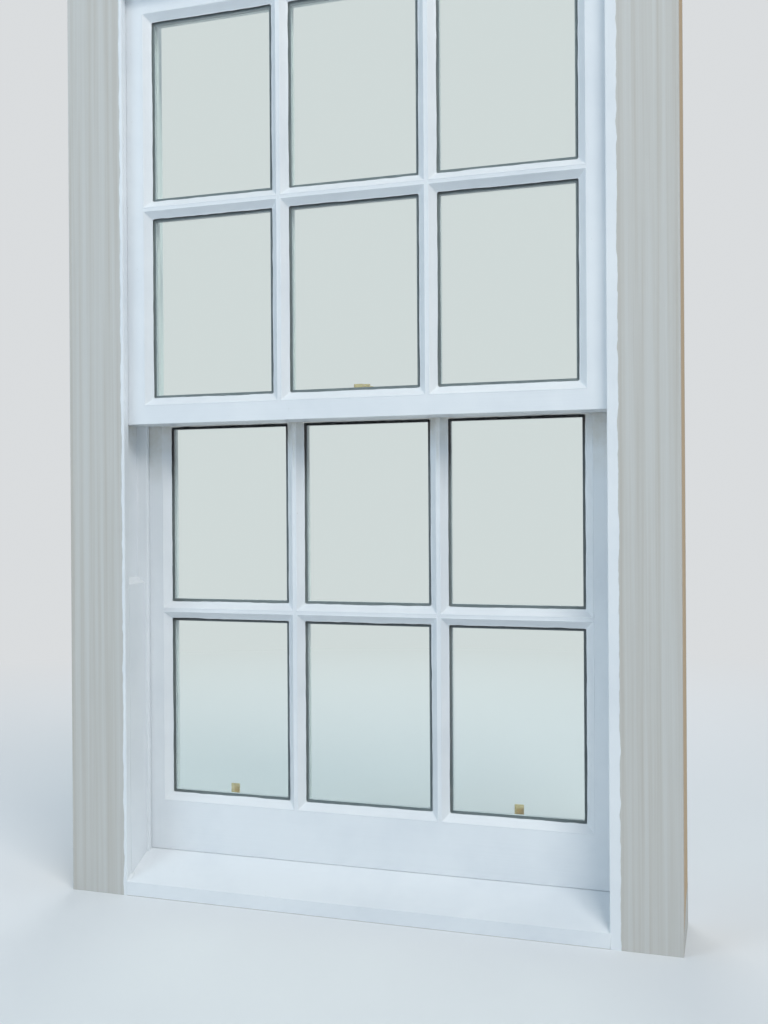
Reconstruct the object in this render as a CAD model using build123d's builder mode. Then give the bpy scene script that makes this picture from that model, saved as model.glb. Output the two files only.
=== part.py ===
from build123d import *
from math import radians, tan, pi
import os

# A double-hung box sash window, six panes over six, with slim sealed units.
# Millimetres. X runs across the window, Y from outdoors to indoors, Z up.
# The origin is the middle of the sill's underside, where the window is bedded.

# Panes and glazing bars, as seen from outdoors
pane_width = 210.0
pane_height = 290.0
columns = 3
rows = 2
bar_sight = 26.5
bar_nose = 6.0
bar_inner_nose = 8.0

# Sash members, measured outwards from the sight line of the glass
sash_thickness = 47.0
stile_width = 52.5
top_rail_height = 52.0
meeting_rail_height = 41.0
bottom_rail_height = 92.0
putty_width = 11.0
putty_depth = 10.0
moulding_width = 12.0
moulding_quirk = 2.0
tenon_thickness = 12.0
tenon_length = 38.0
tenon_shoulder = 8.0

# Sealed units
glass_thickness = 3.0
glass_cavity = 6.0
glass_cover = 8.5
spacer_sight = 5.0

# Running gaps
sash_play = 1.0
side_play = 1.2
meeting_play = 0.6
seat_play = 0.6
head_play = 1.2
stop_play = 1.0
pocket_play = 0.25
cord_play = 0.3
axle_play = 0.05
wheel_play = 0.6
latch_play = 0.6

# Box frame
outer_lining_thickness = 14.0
inner_lining_thickness = 14.0
lining_lap = 14.0
pulley_stile_thickness = 22.0
weight_space = 56.0
back_lining_thickness = 8.0
head_thickness = 22.0
lining_above_head = 14.0
bead_thickness = 8.0
bead_projection = 19.0
bead_groove = 8.0
staff_bead_projection = 14.0
staff_bead_depth = 18.0
sill_bead_height = 22.0
wagtail_thickness = 6.0
wagtail_clear = 4.0
wagtail_foot = 110.0

# Sill
sill_front_height = 22.0
sill_rise = 34.0
sill_lead = 2.0
seat_slope = 6.0
drip_radius = 4.0
drip_setback = 18.0

# Travel of the sashes and of the catch
upper_travel = 247.0
lower_travel = 620.0
stop_bevel = 10.0

# Pocket in the pulley stile, through which a weight is lifted out
pocket_width = 38.0
pocket_height = 400.0
pocket_above_sill = 140.0

# Pulleys, cords and weights
cord_radius = 3.0
cord_groove_width = 12.0
cord_groove_depth = 10.0
cord_groove_length = 230.0
knot_radius = 8.0
knot_hole_radius = 10.0
knot_hole_depth = 19.0
pulley_below_head = 77.0
wheel_thickness = 9.0
wheel_hub_radius = 8.0
wheel_web_thickness = 5.0
wheel_rim = 5.0
axle_radius = 3.0
case_plate_width = 25.0
case_plate_height = 112.0
case_plate_thickness = 3.0
case_slot_height = 50.0
cheek_thickness = 2.0
cheek_height = 28.0
cheek_behind_axle = 8.0
mortice_play = 0.2
mortice_height = 66.0
weight_radius = 21.0
weight_clear = 3.0
weight_neck_radius = 9.0
weight_neck_height = 24.0
weight_hole_radius = 4.0
weight_shoulder = 6.0
upper_weight_foot = 105.0
lower_weight_drop = 12.0

# Densities in grams for each cubic millimetre, which size the balance weights
timber_density = 0.0006
glass_density = 0.0025
sealant_density = 0.0011
brass_density = 0.0085
iron_density = 0.0072

# Sash lifts and the catch, in brass
lift_left_x = -256.0
lift_right_x = 228.0
lift_width = 14.5
lift_plate_width = 22.0
lift_plate_height = 44.0
lift_plate_thickness = 3.0
lift_metal = 3.0
lift_reach = 26.0
lift_tip_above_sight = 4.7
lift_curve_below_sight = 27.0
lift_plate_below_curve = 22.0
catch_x = 0.0
catch_setback = 16.0
catch_plate_length = 46.0
catch_plate_width = 18.0
catch_plate_thickness = 2.5
catch_hub_radius = 8.5
catch_hub_height = 8.0
catch_pin_radius = 4.0
catch_cap_radius = 6.0
catch_cap_height = 2.0
catch_claw_rise = 10.5
catch_claw_reach = 34.0
catch_claw_width = 9.0
catch_claw_metal = 3.0
catch_claw_toe = 7.0
keep_width = 14.5
keep_depth = 13.0
keep_wall = 3.5
keep_inset = 1.0
keep_slot_height = 5.5

# Places across the window, from its middle
sight_x = (columns * pane_width + (columns - 1) * bar_sight) / 2
sash_edge_x = sight_x + stile_width
stile_face_x = sash_edge_x + side_play
lining_edge_x = stile_face_x - lining_lap
bead_edge_x = stile_face_x - bead_projection
stile_back_x = stile_face_x + pulley_stile_thickness
back_lining_x = stile_back_x + weight_space
box_edge_x = back_lining_x + back_lining_thickness

# Places through the window, from outdoors to indoors
channel = sash_thickness + 2 * sash_play
stile_depth = 2 * channel + bead_thickness
frame_depth = outer_lining_thickness + stile_depth + inner_lining_thickness
front_y = -frame_depth / 2
stile_front_y = front_y + outer_lining_thickness
upper_face_y = stile_front_y + sash_play
bead_y = stile_front_y + channel
lower_face_y = bead_y + bead_thickness + sash_play
stile_inner_y = stile_front_y + stile_depth
back_y = stile_inner_y + inner_lining_thickness
rebate_depth = putty_depth + 2 * glass_thickness + glass_cavity
bead_middle_y = bead_y + bead_thickness / 2

# Heights
daylight_height = rows * pane_height + (rows - 1) * bar_sight
seat_front_y = lower_face_y - sill_lead
seat_front_z = sill_front_height + sill_rise


def seat_z(y):
    """Height of the sill's seat under the bottom rail at one depth."""
    return seat_front_z + (y - seat_front_y) * tan(radians(seat_slope))


sill_back_z = seat_z(stile_inner_y)
lower_foot_z = seat_z(lower_face_y) + seat_play
lower_sight_z = lower_foot_z + bottom_rail_height
lower_top_z = lower_sight_z + daylight_height + meeting_rail_height
upper_sight_z = lower_top_z
upper_foot_z = upper_sight_z - meeting_rail_height
upper_top_z = upper_sight_z + daylight_height + top_rail_height
head_z = upper_top_z + head_play
head_lining_z = head_z - lining_lap
frame_top_z = head_z + head_thickness + lining_above_head
stop_top_z = upper_foot_z - upper_travel - stop_play
pulley_z = head_z - pulley_below_head
pocket_z = sill_back_z + pocket_above_sill

# The cord leaves the sash in a groove and drops clear of the stile into the box
cord_sash_x = sash_edge_x - cord_groove_depth / 2
cord_weight_x = stile_back_x + weight_clear + weight_radius
wheel_cord_radius = (cord_weight_x - cord_sash_x) / 2
wheel_x = cord_sash_x + wheel_cord_radius
wheel_radius = wheel_cord_radius + cord_radius
wheel_groove = cord_radius + cord_play

os.makedirs("parts", exist_ok=True)


def block(x, y, z, mode=Mode.ADD):
    """A rectangular block between two values along each axis."""
    centre = ((x[0] + x[1]) / 2, (y[0] + y[1]) / 2, (z[0] + z[1]) / 2)
    with Locations(centre):
        Box(x[1] - x[0], y[1] - y[0], z[1] - z[0], mode=mode)


def facing(y):
    """A plane that looks outdoors at one depth, with X to the right and Z up."""
    return Plane(origin=(0, y, 0), x_dir=(1, 0, 0), z_dir=(0, -1, 0))


def across(points, half_length, mode=Mode.ADD):
    """A prism that runs across the window, from its outline in depth and height."""
    with BuildSketch(Plane.YZ) as outline:
        with BuildLine():
            Polyline(*points, close=True)
        make_face()
    extrude(outline.sketch, amount=half_length, both=True, mode=mode)


def twin(piece):
    """The left-hand copy of a right-hand piece."""
    with BuildPart() as copy:
        mirror(piece.part, about=Plane.YZ)
    return copy


def save(piece, name):
    """Label a finished piece and write its file."""
    piece.part.label = name
    export_step(piece.part, f"parts/{name}.step")


def save_pair(piece, name):
    """Write a right-hand piece and its left-hand twin."""
    save(piece, f"{name}_right")
    save(twin(piece), f"{name}_left")


# Sill: weathered in front, a gentle seat under the bottom rail, level under the staff bead
with BuildPart() as sill:
    across(
        [
            (front_y, 0),
            (back_y, 0),
            (back_y, sill_back_z),
            (stile_inner_y, sill_back_z),
            (seat_front_y, seat_front_z),
            (front_y, sill_front_height),
        ],
        box_edge_x,
    )
    for inner, outer in ((lining_edge_x, box_edge_x), (-box_edge_x, -lining_edge_x)):
        block((inner, outer), (front_y, stile_front_y), (0, seat_front_z), Mode.SUBTRACT)
    with Locations((0, front_y + drip_setback, 0)):
        Cylinder(drip_radius, 2 * lining_edge_x, rotation=(0, 90, 0), mode=Mode.SUBTRACT)
save(sill, "sill")

# Pulley stile: grooved for the parting bead, with pulley mortices and a pocket
pulley_rows = (("upper", upper_face_y), ("lower", lower_face_y))
case_width = wheel_thickness + 2 * wheel_play + 2 * cheek_thickness
pocket_y = stile_inner_y - (channel - pocket_width) / 2 - pocket_width
with BuildPart() as pulley_stile:
    block((stile_face_x, stile_back_x), (stile_front_y, stile_inner_y), (0, head_z))
    block(
        (stile_face_x, stile_face_x + bead_groove),
        (bead_y, bead_y + bead_thickness),
        (0, head_z),
        Mode.SUBTRACT,
    )
    block(
        (stile_face_x, stile_back_x),
        (pocket_y, pocket_y + pocket_width),
        (pocket_z, pocket_z + pocket_height),
        Mode.SUBTRACT,
    )
    for _, face_y in pulley_rows:
        middle_y = face_y + sash_thickness / 2
        half = case_width / 2 + mortice_play
        block(
            (stile_face_x, stile_back_x),
            (middle_y - half, middle_y + half),
            (pulley_z - mortice_height / 2, pulley_z + mortice_height / 2),
            Mode.SUBTRACT,
        )
        block(
            (stile_face_x, stile_face_x + case_plate_thickness),
            (middle_y - case_plate_width / 2, middle_y + case_plate_width / 2),
            (pulley_z - case_plate_height / 2, pulley_z + case_plate_height / 2),
            Mode.SUBTRACT,
        )
    add(sill.part, mode=Mode.SUBTRACT)
save_pair(pulley_stile, "pulley_stile")

with BuildPart() as pocket_pieces:
    block(
        (stile_face_x, stile_back_x),
        (pocket_y + pocket_play, pocket_y + pocket_width - pocket_play),
        (pocket_z + pocket_play, pocket_z + pocket_height - pocket_play),
    )
    mirror(about=Plane.YZ)
save(pocket_pieces, "pocket_pieces")

with BuildPart() as head:
    block((-box_edge_x, box_edge_x), (stile_front_y, stile_inner_y), (head_z, head_z + head_thickness))
save(head, "head")

with BuildPart() as back_lining:
    block((back_lining_x, box_edge_x), (stile_front_y, stile_inner_y), (0, head_z))
    add(sill.part, mode=Mode.SUBTRACT)
save_pair(back_lining, "back_lining")

# Linings: the outer ones lap past the pulley stiles and hold the upper sash in
with BuildPart() as outer_lining:
    block((lining_edge_x, box_edge_x), (front_y, stile_front_y), (0, frame_top_z))
save_pair(outer_lining, "outer_lining")

with BuildPart() as outer_head_lining:
    block((-lining_edge_x, lining_edge_x), (front_y, stile_front_y), (head_lining_z, frame_top_z))
save(outer_head_lining, "outer_lining_head")

with BuildPart() as inner_lining:
    block((stile_face_x, box_edge_x), (stile_inner_y, back_y), (sill_back_z, frame_top_z))
save_pair(inner_lining, "inner_lining")

with BuildPart() as inner_head_lining:
    block((-stile_face_x, stile_face_x), (stile_inner_y, back_y), (head_z, frame_top_z))
save(inner_head_lining, "inner_lining_head")

# Beads
with BuildPart() as parting_bead:
    block((bead_edge_x, stile_face_x + bead_groove), (bead_y, bead_y + bead_thickness), (0, head_z))
    nosing = parting_bead.edges().filter_by(Axis.Z).group_by(Axis.X)[0]
    fillet(nosing, bead_thickness / 5)
    add(sill.part, mode=Mode.SUBTRACT)
save_pair(parting_bead, "parting_bead")

staff_edge_x = stile_face_x - staff_bead_projection
staff_back_y = stile_inner_y + staff_bead_depth
staff_round = staff_bead_projection / 2
with BuildPart() as side_bead:
    block((staff_edge_x, stile_face_x), (stile_inner_y, staff_back_y), (sill_back_z, head_z))
    rounded = side_bead.edges().filter_by(Axis.Z).group_by(Axis.X)[0].sort_by(Axis.Y)[-1]
    fillet(rounded, staff_round)
with BuildPart() as sill_bead:
    block(
        (-staff_edge_x, staff_edge_x),
        (stile_inner_y, staff_back_y),
        (sill_back_z, sill_back_z + sill_bead_height),
    )
    rounded = sill_bead.edges().filter_by(Axis.X).group_by(Axis.Z)[-1].sort_by(Axis.Y)[-1]
    fillet(rounded, staff_round)
with BuildPart() as head_bead:
    block(
        (-staff_edge_x, staff_edge_x),
        (stile_inner_y, staff_back_y),
        (head_z - staff_bead_projection, head_z),
    )
    rounded = head_bead.edges().filter_by(Axis.X).group_by(Axis.Z)[0].sort_by(Axis.Y)[-1]
    fillet(rounded, staff_round)
save_pair(side_bead, "staff_bead")
save(sill_bead, "staff_bead_sill")
save(head_bead, "staff_bead_head")

# Stop blocks fill the outer channels below the upper sash and stop it there
with BuildPart() as stop_block:
    block((lining_edge_x, stile_face_x), (stile_front_y, bead_y), (0, stop_top_z))
    top_edge = stop_block.edges().filter_by(Axis.Y).group_by(Axis.Z)[-1].sort_by(Axis.X)[0]
    chamfer(top_edge, stop_bevel, lining_lap - 1)
    add(sill.part, mode=Mode.SUBTRACT)
save_pair(stop_block, "stop_block")

with BuildPart() as wagtails:
    block(
        (stile_back_x + wagtail_clear, back_lining_x - wagtail_clear),
        (bead_middle_y - wagtail_thickness / 2, bead_middle_y + wagtail_thickness / 2),
        (wagtail_foot, head_z),
    )
    mirror(about=Plane.YZ)
save(wagtails, "wagtails")


def member_section(width, moulded=True):
    """Section of a stile or rail: out from the sight line, and in from the outside face."""
    if not moulded:
        with BuildLine() as outline:
            Polyline(
                (0, rebate_depth),
                (0, sash_thickness),
                (width, sash_thickness),
                (width, 0),
                (putty_width, 0),
                (putty_width, rebate_depth),
                close=True,
            )
        make_face(outline.edges())
        return
    round_start = sash_thickness - moulding_quirk
    flat_end = round_start - moulding_width
    with BuildLine() as outline:
        Polyline(
            (moulding_width, round_start),
            (moulding_width, sash_thickness),
            (width, sash_thickness),
            (width, 0),
            (putty_width, 0),
            (putty_width, rebate_depth),
            (0, rebate_depth),
            (0, flat_end),
        )
        CenterArc((moulding_width, flat_end), moulding_width, 90, 90)
    make_face(outline.edges())


def bar_section():
    """Section of a glazing bar: a thin web between the units, moulded indoors."""
    inner = bar_inner_nose / 2
    round_width = bar_sight / 2 - inner
    round_start = sash_thickness - moulding_quirk
    flat_end = round_start - round_width
    with BuildLine() as outline:
        Polyline(
            (inner, round_start),
            (inner, sash_thickness),
            (0, sash_thickness),
            (0, 0),
            (bar_nose / 2, 0),
            (bar_nose / 2, rebate_depth),
            (bar_sight / 2, rebate_depth),
            (bar_sight / 2, flat_end),
        )
        CenterArc((inner, flat_end), round_width, 0, 90)
    make_face(outline.edges())
    mirror(about=Plane.YZ)


shoulder = max(putty_width, moulding_width)
tenon_v = rebate_depth + 1


def rail_plane(face_y, sight_z, upwards):
    """The plane of a rail's section, at one end of the rail, growing away from the glass."""
    end = sight_x + shoulder
    if upwards:
        return Plane(origin=(end, face_y, sight_z), x_dir=(0, 0, 1), z_dir=(-1, 0, 0))
    return Plane(origin=(-end, face_y, sight_z), x_dir=(0, 0, -1), z_dir=(1, 0, 0))


def tenon(face_y, low, high, mode=Mode.ADD):
    """The tenon of a rail in the right-hand stile, or its mortice."""
    block(
        (sight_x, sight_x + tenon_length),
        (face_y + tenon_v, face_y + tenon_v + tenon_thickness),
        (low + tenon_shoulder, high - tenon_shoulder),
        mode,
    )


def seat_cut():
    """Trim the foot of a sash to the slope of the sill's seat."""
    inside_y = lower_face_y + sash_thickness + sash_play
    across(
        [
            (lower_face_y - sash_play, 0),
            (inside_y, 0),
            (inside_y, seat_z(inside_y) + seat_play),
            (lower_face_y - sash_play, seat_z(lower_face_y - sash_play) + seat_play),
        ],
        sash_edge_x,
        Mode.SUBTRACT,
    )


def make_stile(face_y, foot_z, top_z, tenons, seated):
    """A right-hand sash stile with its mortices, cord groove and knot hole."""
    with BuildPart() as stile:
        with BuildSketch(Plane(origin=(sight_x, face_y, foot_z), x_dir=(1, 0, 0), z_dir=(0, 0, 1))):
            member_section(stile_width)
        extrude(amount=top_z - foot_z)
        for low, high in tenons:
            tenon(face_y, low, high, Mode.SUBTRACT)
        middle_y = face_y + sash_thickness / 2
        block(
            (sash_edge_x - cord_groove_depth, sash_edge_x),
            (middle_y - cord_groove_width / 2, middle_y + cord_groove_width / 2),
            (top_z - cord_groove_length, top_z),
            Mode.SUBTRACT,
        )
        with Locations((sash_edge_x - knot_hole_depth / 2, middle_y, top_z - cord_groove_length)):
            Cylinder(knot_hole_radius, knot_hole_depth, rotation=(0, 90, 0), mode=Mode.SUBTRACT)
        if seated:
            seat_cut()
    return stile


def make_rail(face_y, sight_z, height, upwards, seated, lap=None, moulded=True):
    """A rail, scribed over the stiles' mouldings, with its two tenons."""
    low, high = (sight_z, sight_z + height) if upwards else (sight_z - height, sight_z)
    with BuildPart() as blank_stiles:
        with BuildSketch(Plane(origin=(sight_x, face_y, low), x_dir=(1, 0, 0), z_dir=(0, 0, 1))):
            member_section(stile_width)
        extrude(amount=high - low)
        mirror(about=Plane.YZ)
    with BuildPart() as rail:
        with BuildSketch(rail_plane(face_y, sight_z, upwards)):
            member_section(height, moulded)
        extrude(amount=2 * (sight_x + shoulder))
        add(blank_stiles.part, mode=Mode.SUBTRACT)
        tenon(face_y, low, high)
        mirror(about=Plane.YZ)
        if lap:
            across(lap, bead_edge_x - 2 * sash_play)
        if seated:
            seat_cut()
    return rail


def make_bars(face_y, sight_z, foot_moulded):
    """The upright bars and the cross bar, halved into each other where they meet."""
    half_depth_y = face_y + sash_thickness / 2
    low, high = sight_z - shoulder, sight_z + daylight_height + shoulder
    with BuildPart() as surround:
        with BuildSketch(rail_plane(face_y, sight_z, False)):
            member_section(stile_width, foot_moulded)
        extrude(amount=2 * (sight_x + shoulder))
        with BuildSketch(rail_plane(face_y, sight_z + daylight_height, True)):
            member_section(stile_width)
        extrude(amount=2 * (sight_x + shoulder))
        with BuildSketch(Plane(origin=(sight_x, face_y, low), x_dir=(1, 0, 0), z_dir=(0, 0, 1))):
            member_section(stile_width)
        extrude(amount=high - low)
        mirror(about=Plane.YZ)
    upright_x = [(i + 1) * (pane_width + bar_sight) - bar_sight / 2 - sight_x for i in range(columns - 1)]
    cross_z = [sight_z + (i + 1) * (pane_height + bar_sight) - bar_sight / 2 for i in range(rows - 1)]
    with BuildPart() as cross_blank:
        for z in cross_z:
            plane = Plane(origin=(-sight_x - shoulder, face_y, z), x_dir=(0, 0, -1), z_dir=(1, 0, 0))
            with BuildSketch(plane):
                bar_section()
            extrude(amount=2 * (sight_x + shoulder))
    with BuildPart() as rear_half:
        add(cross_blank.part)
        block((-sash_edge_x, sash_edge_x), (face_y, half_depth_y), (low, high), Mode.SUBTRACT)
    uprights = []
    for x in upright_x:
        with BuildPart() as upright_blank:
            with BuildSketch(Plane(origin=(x, face_y, low), x_dir=(1, 0, 0), z_dir=(0, 0, 1))):
                bar_section()
            extrude(amount=high - low)
            add(surround.part, mode=Mode.SUBTRACT)
        with BuildPart() as upright:
            add(upright_blank.part)
            add(rear_half.part, mode=Mode.SUBTRACT)
        uprights.append(upright)
    with BuildPart() as cross_bar:
        add(cross_blank.part)
        add(surround.part, mode=Mode.SUBTRACT)
        for upright in uprights:
            add(upright.part, mode=Mode.SUBTRACT)
    return uprights, cross_bar


def pane_places(sight_z):
    """Each pane's middle, with the width of the rebate at its left, right, foot and head."""
    bar_rebate = (bar_sight - bar_nose) / 2
    for row in range(rows):
        for column in range(columns):
            x = column * (pane_width + bar_sight) + pane_width / 2 - sight_x
            z = sight_z + row * (pane_height + bar_sight) + pane_height / 2
            left = putty_width if column == 0 else bar_rebate
            right = putty_width if column == columns - 1 else bar_rebate
            foot = putty_width if row == 0 else bar_rebate
            top = putty_width if row == rows - 1 else bar_rebate
            yield x, z, left, right, foot, top


def make_glass(face_y, sight_z):
    """Two sheets of glass for each sealed unit."""
    with BuildPart() as glass:
        for x, z, *_ in pane_places(sight_z):
            half_x = pane_width / 2 + glass_cover
            half_z = pane_height / 2 + glass_cover
            for sheet_y in (face_y + putty_depth, face_y + putty_depth + glass_thickness + glass_cavity):
                block(
                    (x - half_x, x + half_x),
                    (sheet_y, sheet_y + glass_thickness),
                    (z - half_z, z + half_z),
                )
    return glass


def make_spacers(face_y, sight_z):
    """The bar and seal that hold the two sheets of each unit apart, just past the sight line."""
    near = face_y + putty_depth + glass_thickness
    far = near + glass_cavity
    with BuildPart() as spacers:
        for x, z, *_ in pane_places(sight_z):
            for reach, mode in ((glass_cover, Mode.ADD), (-spacer_sight, Mode.SUBTRACT)):
                half_x = pane_width / 2 + reach
                half_z = pane_height / 2 + reach
                block((x - half_x, x + half_x), (near, far), (z - half_z, z + half_z), mode)
    return spacers


def make_putty(face_y, sight_z):
    """A bevelled ring of putty in front of each unit."""
    with BuildPart() as putty:
        for x, z, left, right, foot, top in pane_places(sight_z):
            wide = (x - pane_width / 2 - left, x + pane_width / 2 + right)
            tall = (z - pane_height / 2 - foot, z + pane_height / 2 + top)
            block(wide, (face_y, face_y + putty_depth), tall)
            with BuildSketch(facing(face_y)):
                with Locations(((wide[0] + wide[1]) / 2, (tall[0] + tall[1]) / 2)):
                    Rectangle(wide[1] - wide[0], tall[1] - tall[0])
            with BuildSketch(facing(face_y + putty_depth)):
                with Locations((x, z)):
                    Rectangle(pane_width, pane_height)
            loft(mode=Mode.SUBTRACT)
    return putty


# The meeting rails close on each other on a slope, so that either sash can leave the other
sash_gap = lower_face_y - upper_face_y - sash_thickness
lap_deep = 0.65 * sash_gap
lap_shallow = 0.3 * sash_gap
meeting_y = upper_face_y + sash_thickness


def slope_y(z):
    """Depth of the upper meeting rail's sloping face at one height."""
    share = (z - upper_foot_z) / meeting_rail_height
    return meeting_y + lap_deep + (lap_shallow - lap_deep) * share


upper_lap = [
    (meeting_y, upper_foot_z),
    (slope_y(upper_foot_z), upper_foot_z),
    (slope_y(upper_sight_z), upper_sight_z),
    (meeting_y, upper_sight_z),
]
lap_foot_z = lower_top_z - meeting_rail_height + putty_width
lower_lap = [
    (lower_face_y, lap_foot_z),
    (slope_y(lap_foot_z) + meeting_play, lap_foot_z),
    (slope_y(lower_top_z) + meeting_play, lower_top_z),
    (lower_face_y, lower_top_z),
]


def make_sash(name, face_y, foot_z, sight_z, top_z, top_name, foot_name, seated, laps):
    """Write every piece of one sash, and return the mass of its pieces in grams."""
    light_z = sight_z + daylight_height
    stile_foot_z = foot_z - (sill_rise if seated else 0)
    stile = make_stile(face_y, stile_foot_z, top_z, ((foot_z, sight_z), (light_z, top_z)), seated)
    save_pair(stile, f"{name}_stile")
    top = make_rail(face_y, light_z, top_z - light_z, True, False, laps[0])
    save(top, f"{name}_{top_name}")
    foot = make_rail(face_y, sight_z, sight_z - foot_z, False, seated, laps[1], moulded=seated)
    save(foot, f"{name}_{foot_name}")
    uprights, cross_bar = make_bars(face_y, sight_z, foot_moulded=seated)
    for upright, side in zip(uprights, ("left", "right")):
        save(upright, f"{name}_bar_{side}")
    save(cross_bar, f"{name}_cross_bar")
    glass = make_glass(face_y, sight_z)
    save(glass, f"{name}_glass")
    spacers = make_spacers(face_y, sight_z)
    save(spacers, f"{name}_spacers")
    putty = make_putty(face_y, sight_z)
    save(putty, f"{name}_putty")
    timber = sum(piece.part.volume for piece in (stile, stile, top, foot, cross_bar, *uprights))
    sealant = spacers.part.volume + putty.part.volume
    return timber * timber_density + glass.part.volume * glass_density + sealant * sealant_density


upper_mass = make_sash(
    "upper",
    upper_face_y,
    upper_foot_z,
    upper_sight_z,
    upper_top_z,
    "top_rail",
    "meeting_rail",
    False,
    (None, upper_lap),
)
lower_mass = make_sash(
    "lower",
    lower_face_y,
    lower_foot_z,
    lower_sight_z,
    lower_top_z,
    "meeting_rail",
    "bottom_rail",
    True,
    (lower_lap, None),
)

# Sash lifts: a hooked strip on a plate, one under each outer pane
rail_inner_y = lower_face_y + sash_thickness
lift_tip_z = lower_sight_z + lift_tip_above_sight
lift_curve_z = lower_sight_z - lift_curve_below_sight
lift_plate_z = lift_curve_z - lift_plate_below_curve
bend_radius = lift_reach / 2
bend_y = rail_inner_y + lift_reach - bend_radius
strip_y = rail_inner_y + lift_reach - lift_metal / 2
with BuildPart() as lift:
    block(
        (-lift_plate_width / 2, lift_plate_width / 2),
        (rail_inner_y, rail_inner_y + lift_plate_thickness),
        (lift_plate_z, lift_plate_z + lift_plate_height),
    )
    fillet(lift.edges().filter_by(Axis.Y), lift_plate_width / 6)
    with BuildSketch(Plane.YZ):
        with Locations((bend_y, lift_curve_z)):
            Circle(bend_radius)
            Circle(bend_radius - lift_metal, mode=Mode.SUBTRACT)
        with Locations((bend_y, lift_curve_z + bend_radius)):
            Rectangle(2 * bend_radius, 2 * bend_radius, mode=Mode.SUBTRACT)
        with Locations((strip_y, (lift_curve_z + lift_tip_z) / 2)):
            Rectangle(lift_metal, lift_tip_z - lift_curve_z)
        with Locations((strip_y, lift_tip_z)):
            Circle(lift_metal / 2)
    extrude(amount=lift_width / 2, both=True)
with BuildPart() as hook_lifts:
    with Locations((lift_left_x, 0, 0), (lift_right_x, 0, 0)):
        add(lift.part)
save(hook_lifts, "hook_lifts")

# Catch: a claw that turns on the lower meeting rail, and the keep that it draws in on the upper one
catch_y = lower_face_y + catch_setback
catch_plate_top = lower_top_z + catch_plate_thickness
hub_foot_z = catch_plate_top + latch_play
claw_top_z = hub_foot_z + catch_claw_rise
with BuildPart() as catch_plate:
    block(
        (catch_x - catch_plate_length / 2, catch_x + catch_plate_length / 2),
        (catch_y - catch_plate_width / 2, catch_y + catch_plate_width / 2),
        (lower_top_z, catch_plate_top),
    )
    fillet(catch_plate.edges().filter_by(Axis.Z), catch_plate_width / 4)
    pin_top = claw_top_z + latch_play
    with Locations((catch_x, catch_y, (lower_top_z + pin_top) / 2)):
        Cylinder(catch_pin_radius, pin_top - lower_top_z)
    with Locations((catch_x, catch_y, pin_top + catch_cap_height / 2)):
        Cylinder(catch_cap_radius, catch_cap_height)
save(catch_plate, "catch_plate")

with BuildPart() as catch_arm:
    with Locations((catch_x, catch_y, hub_foot_z + catch_hub_height / 2)):
        Cylinder(catch_hub_radius, catch_hub_height)
    with BuildSketch(Plane(origin=(catch_x, catch_y, hub_foot_z), x_dir=(1, 0, 0), z_dir=(0, -1, 0))):
        with BuildLine():
            outer = ThreePointArc(
                (0, catch_claw_rise),
                (0.56 * catch_claw_reach, 0.66 * catch_claw_rise),
                (catch_claw_reach, 0),
            )
            inner = ThreePointArc(
                (catch_claw_reach - catch_claw_toe, 0),
                (0.5 * catch_claw_reach, 0.66 * catch_claw_rise - catch_claw_metal),
                (0, catch_claw_rise - catch_claw_metal),
            )
            Line(outer @ 1, inner @ 0)
            Line(inner @ 1, outer @ 0)
        make_face()
    extrude(amount=catch_claw_width / 2, both=True)
    with Locations((catch_x, catch_y, hub_foot_z + catch_claw_rise / 2)):
        Cylinder(catch_pin_radius + axle_play, 2 * catch_claw_rise, mode=Mode.SUBTRACT)
save(catch_arm, "catch_arm")

keep_y = (upper_face_y + sash_thickness - keep_inset - keep_depth, upper_face_y + sash_thickness - keep_inset)
keep_x = (catch_x - keep_width / 2, catch_x + keep_width / 2)
slot_top_z = hub_foot_z + keep_slot_height + latch_play
with BuildPart() as catch_keep:
    block(keep_x, keep_y, (upper_sight_z, slot_top_z + keep_wall))
    block(
        (keep_x[0] + keep_wall, keep_x[1]),
        (keep_y[0] + keep_wall, keep_y[1]),
        (catch_plate_top, slot_top_z),
        Mode.SUBTRACT,
    )
save(catch_keep, "catch_keep")

# Weights: each pair balances its sash, so their length follows from the sash's mass
upper_mass += catch_keep.part.volume * brass_density
lower_mass += (hook_lifts.part.volume + catch_plate.part.volume + catch_arm.part.volume) * brass_density
weight_area = pi * weight_radius**2
upper_weight_length = upper_mass / 2 / iron_density / weight_area + weight_neck_height
lower_weight_length = lower_mass / 2 / iron_density / weight_area + weight_neck_height


def make_weight(face_y, foot_z, length):
    """A cast weight: a round bar with a neck, drilled for the cord."""
    top = foot_z + length
    neck_foot = top - weight_neck_height
    middle_y = face_y + sash_thickness / 2
    with BuildPart() as weight:
        with BuildSketch(Plane(origin=(cord_weight_x, middle_y, 0), x_dir=(1, 0, 0), z_dir=(0, -1, 0))):
            with BuildLine():
                Polyline(
                    (0, foot_z),
                    (weight_radius - weight_shoulder / 2, foot_z),
                    (weight_radius, foot_z + weight_shoulder / 2),
                    (weight_radius, neck_foot - weight_shoulder),
                    (weight_neck_radius, neck_foot),
                    (weight_neck_radius, top),
                    (0, top),
                    close=True,
                )
            make_face()
        revolve(axis=Axis((cord_weight_x, middle_y, 0), (0, 0, 1)))
        with Locations((cord_weight_x, middle_y, top - weight_neck_height / 2)):
            Cylinder(weight_hole_radius, 2 * weight_radius, rotation=(90, 0, 0), mode=Mode.SUBTRACT)
    return weight


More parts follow.
